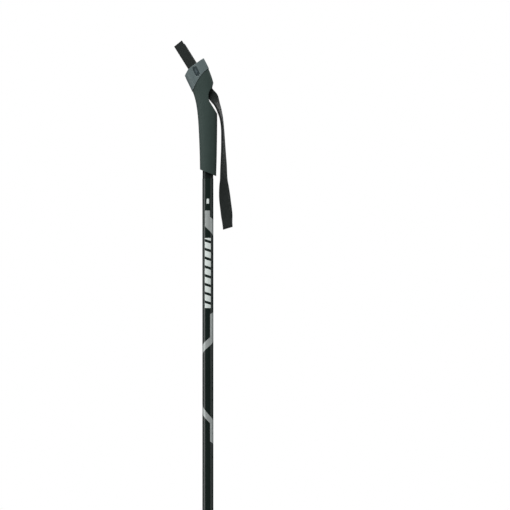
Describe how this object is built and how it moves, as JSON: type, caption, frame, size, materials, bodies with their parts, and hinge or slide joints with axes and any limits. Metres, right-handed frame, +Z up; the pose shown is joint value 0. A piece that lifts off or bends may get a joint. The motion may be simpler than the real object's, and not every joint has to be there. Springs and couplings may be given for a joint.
{
  "type": "ski pole",
  "caption": "Cross-country ski pole: straight tapered shaft, forward-leaning soft grip, webbing hand strap held by a sliding wedge lock, basket and carbide tip.",
  "frame": {"origin": "on the shaft's axis, at the top edge of the printed film just below the grip", "axes": "+Z up along the shaft, -X forward where the head leans, +X rearward to the strap"},
  "size_m": [0.099, 0.07, 1.4754],
  "materials": {
    "tube_alloy": "black anodised, polished",
    "film": "printed gloss film",
    "inner_plastic": "moulded",
    "grip_rubber": "soft, matt",
    "cap_plastic": "satin moulded",
    "badge_plastic": "satin",
    "webbing": "woven",
    "ferrule_plastic": "satin moulded",
    "basket_plastic": "satin moulded",
    "steel": "turned",
    "carbide": "sintered"
  },
  "bodies": {
    "pole": {"shaft_tube": "tube_alloy", "shaft_film": "film", "shaft_plug": "inner_plastic", "grip_core": "inner_plastic", "grip_sleeve": "grip_rubber", "strap_throat": "webbing", "tip_ferrule": "ferrule_plastic", "tip_holder": "steel", "carbide_tip": "carbide", "basket": "basket_plastic"},
    "strap_lock": {"strap_cap": "cap_plastic", "strap_wedge": "inner_plastic", "badge_left": "badge_plastic", "badge_right": "badge_plastic"},
    "strap_ends": {"strap_end_near": "webbing", "strap_end_far": "webbing"},
    "strap_neck": {"strap_neck": "webbing"},
    "strap_loop": {"strap_loop": "webbing"}
  },
  "joints": [
    {"name": "strap_lock_slide", "type": "slide", "parent": "pole", "child": "strap_lock", "axis": [-0.5299, 0, 0.848], "range_m": [0, 0.012]},
    {"name": "strap_adjust", "type": "slide", "parent": "pole", "child": "strap_ends", "axis": [-0.5299, 0, 0.848], "range_m": [0, 0.03]},
    {"name": "strap_sway", "type": "hinge", "parent": "pole", "child": "strap_neck", "pos_m": [0.00865, 0, 0.11725], "axis": [0.848, 0, 0.5299], "range_deg": [-45, 45]},
    {"name": "strap_swing", "type": "hinge", "parent": "strap_neck", "child": "strap_loop", "pos_m": [0.0213, 0, 0.07395], "axis": [0, -1, 0], "range_deg": [-3, 70]}
  ]
}
